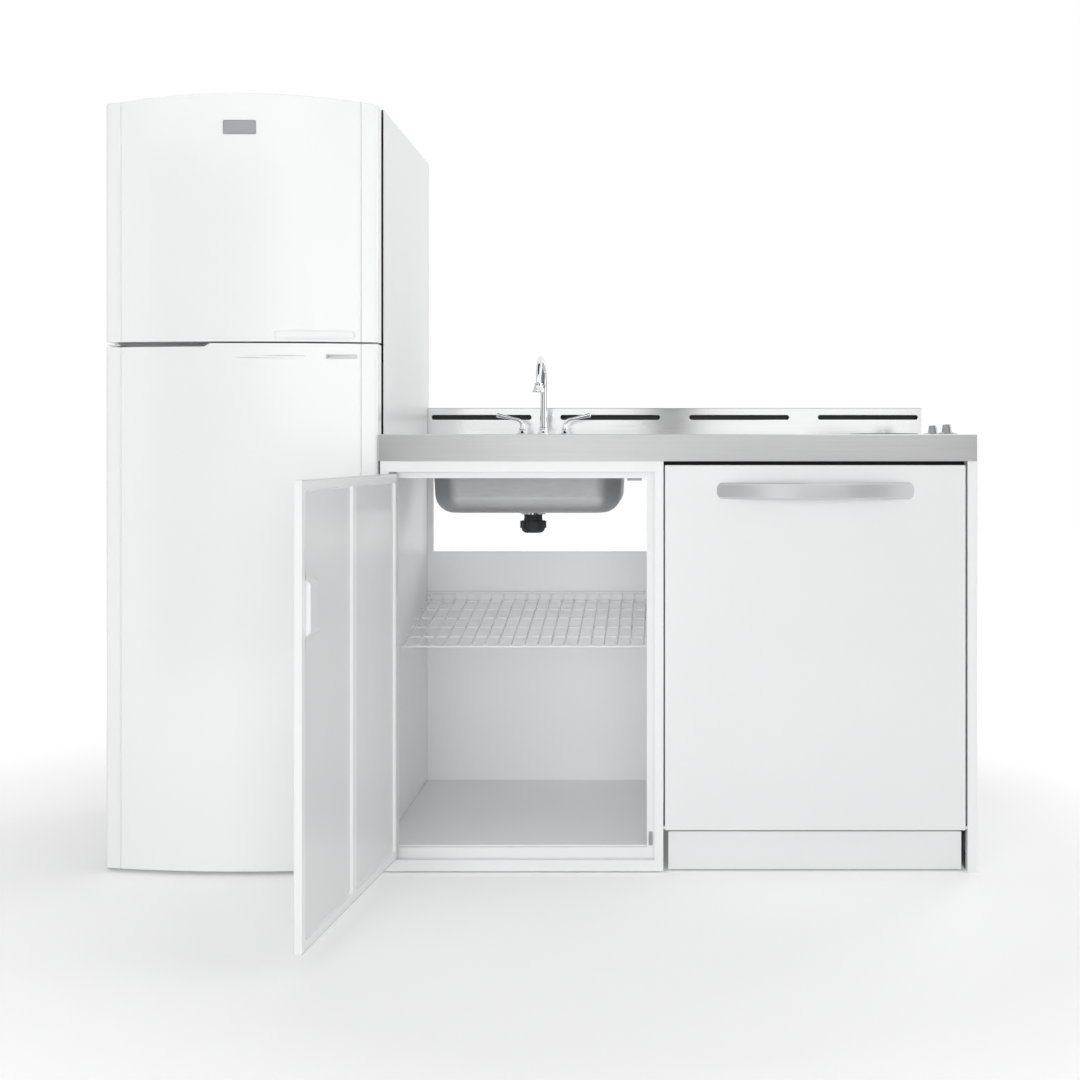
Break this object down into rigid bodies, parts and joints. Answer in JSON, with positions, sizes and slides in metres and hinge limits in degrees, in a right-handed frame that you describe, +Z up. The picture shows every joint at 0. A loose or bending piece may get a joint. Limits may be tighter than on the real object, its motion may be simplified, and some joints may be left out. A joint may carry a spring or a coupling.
{
  "type": "kitchenette unit with sink and hob",
  "caption": "Kitchenette unit with stainless worktop, sink, faucet and hob over a cabinet and dishwasher, beside a refrigerator-freezer, with doors that open.",
  "frame": {"origin": "middle of the floor rectangle under the whole product, with the cabinet door at its stored angle", "axes": "+X to the right along the worktop, +Y back to the wall, +Z up"},
  "size_m": [1.778, 1.1452, 1.581],
  "materials": {
    "white_paint": "satin",
    "white_enamel": "gloss",
    "brushed_steel": "satin",
    "sink_steel": "satin",
    "chrome": "polished",
    "galvanised": "matte",
    "drain_black": "satin",
    "element_black": "matte",
    "grey_knob": "satin",
    "grey_bar": "satin",
    "white_plastic": "satin",
    "spray_grey": "satin",
    "seal_grey": "matte",
    "shelf_glass": "gloss",
    "compressor_black": "satin"
  },
  "bodies": {
    "unit": {"cabinet_left_side": "white_paint", "cabinet_divider": "white_paint", "right_end_panel": "white_paint", "cabinet_back_panel": "white_paint", "cabinet_floor_pan": "white_paint", "cabinet_face_frame": "white_paint", "kick_plate": "white_paint", "fridge_casing": "white_paint", "fridge_top_hinge": "white_paint", "fridge_middle_hinge": "white_paint", "wire_shelf": "white_enamel", "worktop": "brushed_steel", "back_guard": "brushed_steel", "dishwasher_tub": "brushed_steel", "sink_bowl": "sink_steel", "drain_flange": "chrome", "strainer_basket": "chrome", "left_valve_body": "chrome", "right_valve_body": "chrome", "spout_base": "chrome", "front_drip_pan": "chrome", "rear_drip_pan": "chrome", "front_element_support": "chrome", "rear_element_support": "chrome", "burner_box": "galvanised", "top_catch": "galvanised", "stile_catch": "galvanised", "door_top_hinge": "galvanised", "door_bottom_hinge": "galvanised", "dishwasher_base": "galvanised", "fridge_bottom_hinge": "galvanised", "drain_nut": "drain_black", "drain_tailpiece": "drain_black", "front_switch": "drain_black", "rear_switch": "drain_black", "front_coil_element": "element_black", "rear_coil_element": "element_black", "lower_rack": "white_plastic", "fridge_liner": "white_plastic", "glass_shelf": "shelf_glass", "compressor": "compressor_black"},
    "cabinet_door": {"door_outer_skin": "white_paint", "door_inner_pan": "white_paint", "door_pull_cup": "white_paint"},
    "dishwasher_door": {"dishwasher_door_panel": "white_paint", "dishwasher_door_liner": "brushed_steel", "dishwasher_handle": "grey_bar"},
    "freezer_door": {"freezer_door_shell": "white_paint", "freezer_door_liner": "white_plastic", "freezer_gasket": "seal_grey"},
    "fridge_door": {"fridge_door_shell": "white_paint", "fridge_door_liner": "white_plastic", "fridge_gasket": "seal_grey"},
    "spout": {"faucet_spout": "chrome", "aerator": "chrome"},
    "left_handle": {"left_lever": "chrome"},
    "right_handle": {"right_lever": "chrome"},
    "front_control": {"front_knob": "grey_knob"},
    "rear_control": {"rear_knob": "grey_knob"},
    "spray_arm": {"spray_arm": "spray_grey"}
  },
  "joints": [
    {"name": "cabinet_door_hinge", "type": "hinge", "parent": "unit", "child": "cabinet_door", "pos_m": [-0.3025, -0.04186, 0.06], "axis": [0, 0, 1], "range_deg": [-12, 96]},
    {"name": "dishwasher_door_hinge", "type": "hinge", "parent": "unit", "child": "dishwasher_door", "pos_m": [0.5595, -0.04036, 0.091], "axis": [1, 0, 0], "range_deg": [0, 90]},
    {"name": "freezer_door_hinge", "type": "hinge", "parent": "unit", "child": "freezer_door", "pos_m": [-0.871, -0.01936, 1.1], "axis": [0, 0, 1], "range_deg": [-105, 0]},
    {"name": "fridge_door_hinge", "type": "hinge", "parent": "unit", "child": "fridge_door", "pos_m": [-0.871, -0.01936, 0.06], "axis": [0, 0, 1], "range_deg": [-105, 0]},
    {"name": "spout_swivel", "type": "hinge", "parent": "unit", "child": "spout", "pos_m": [-0.035, 0.44264, 0.905], "axis": [0, 0, 1], "range_deg": [-90, 90]},
    {"name": "left_handle_turn", "type": "hinge", "parent": "unit", "child": "left_handle", "pos_m": [-0.0858, 0.44264, 0.91], "axis": [0, 0, 1], "range_deg": [0, 90]},
    {"name": "right_handle_turn", "type": "hinge", "parent": "unit", "child": "right_handle", "pos_m": [0.0158, 0.44264, 0.91], "axis": [0, 0, 1], "range_deg": [-90, 0]},
    {"name": "front_control_turn", "type": "hinge", "parent": "unit", "child": "front_control", "pos_m": [0.857, 0.10264, 0.9], "axis": [0, 0, 1], "range_deg": [0, 300]},
    {"name": "rear_control_turn", "type": "hinge", "parent": "unit", "child": "rear_control", "pos_m": [0.857, 0.25264, 0.9], "axis": [0, 0, 1], "range_deg": [0, 300]},
    {"name": "spray_arm_spin", "type": "hinge", "parent": "unit", "child": "spray_arm", "pos_m": [0.5595, 0.25264, 0.13], "axis": [0, 0, 1], "continuous": true}
  ]
}
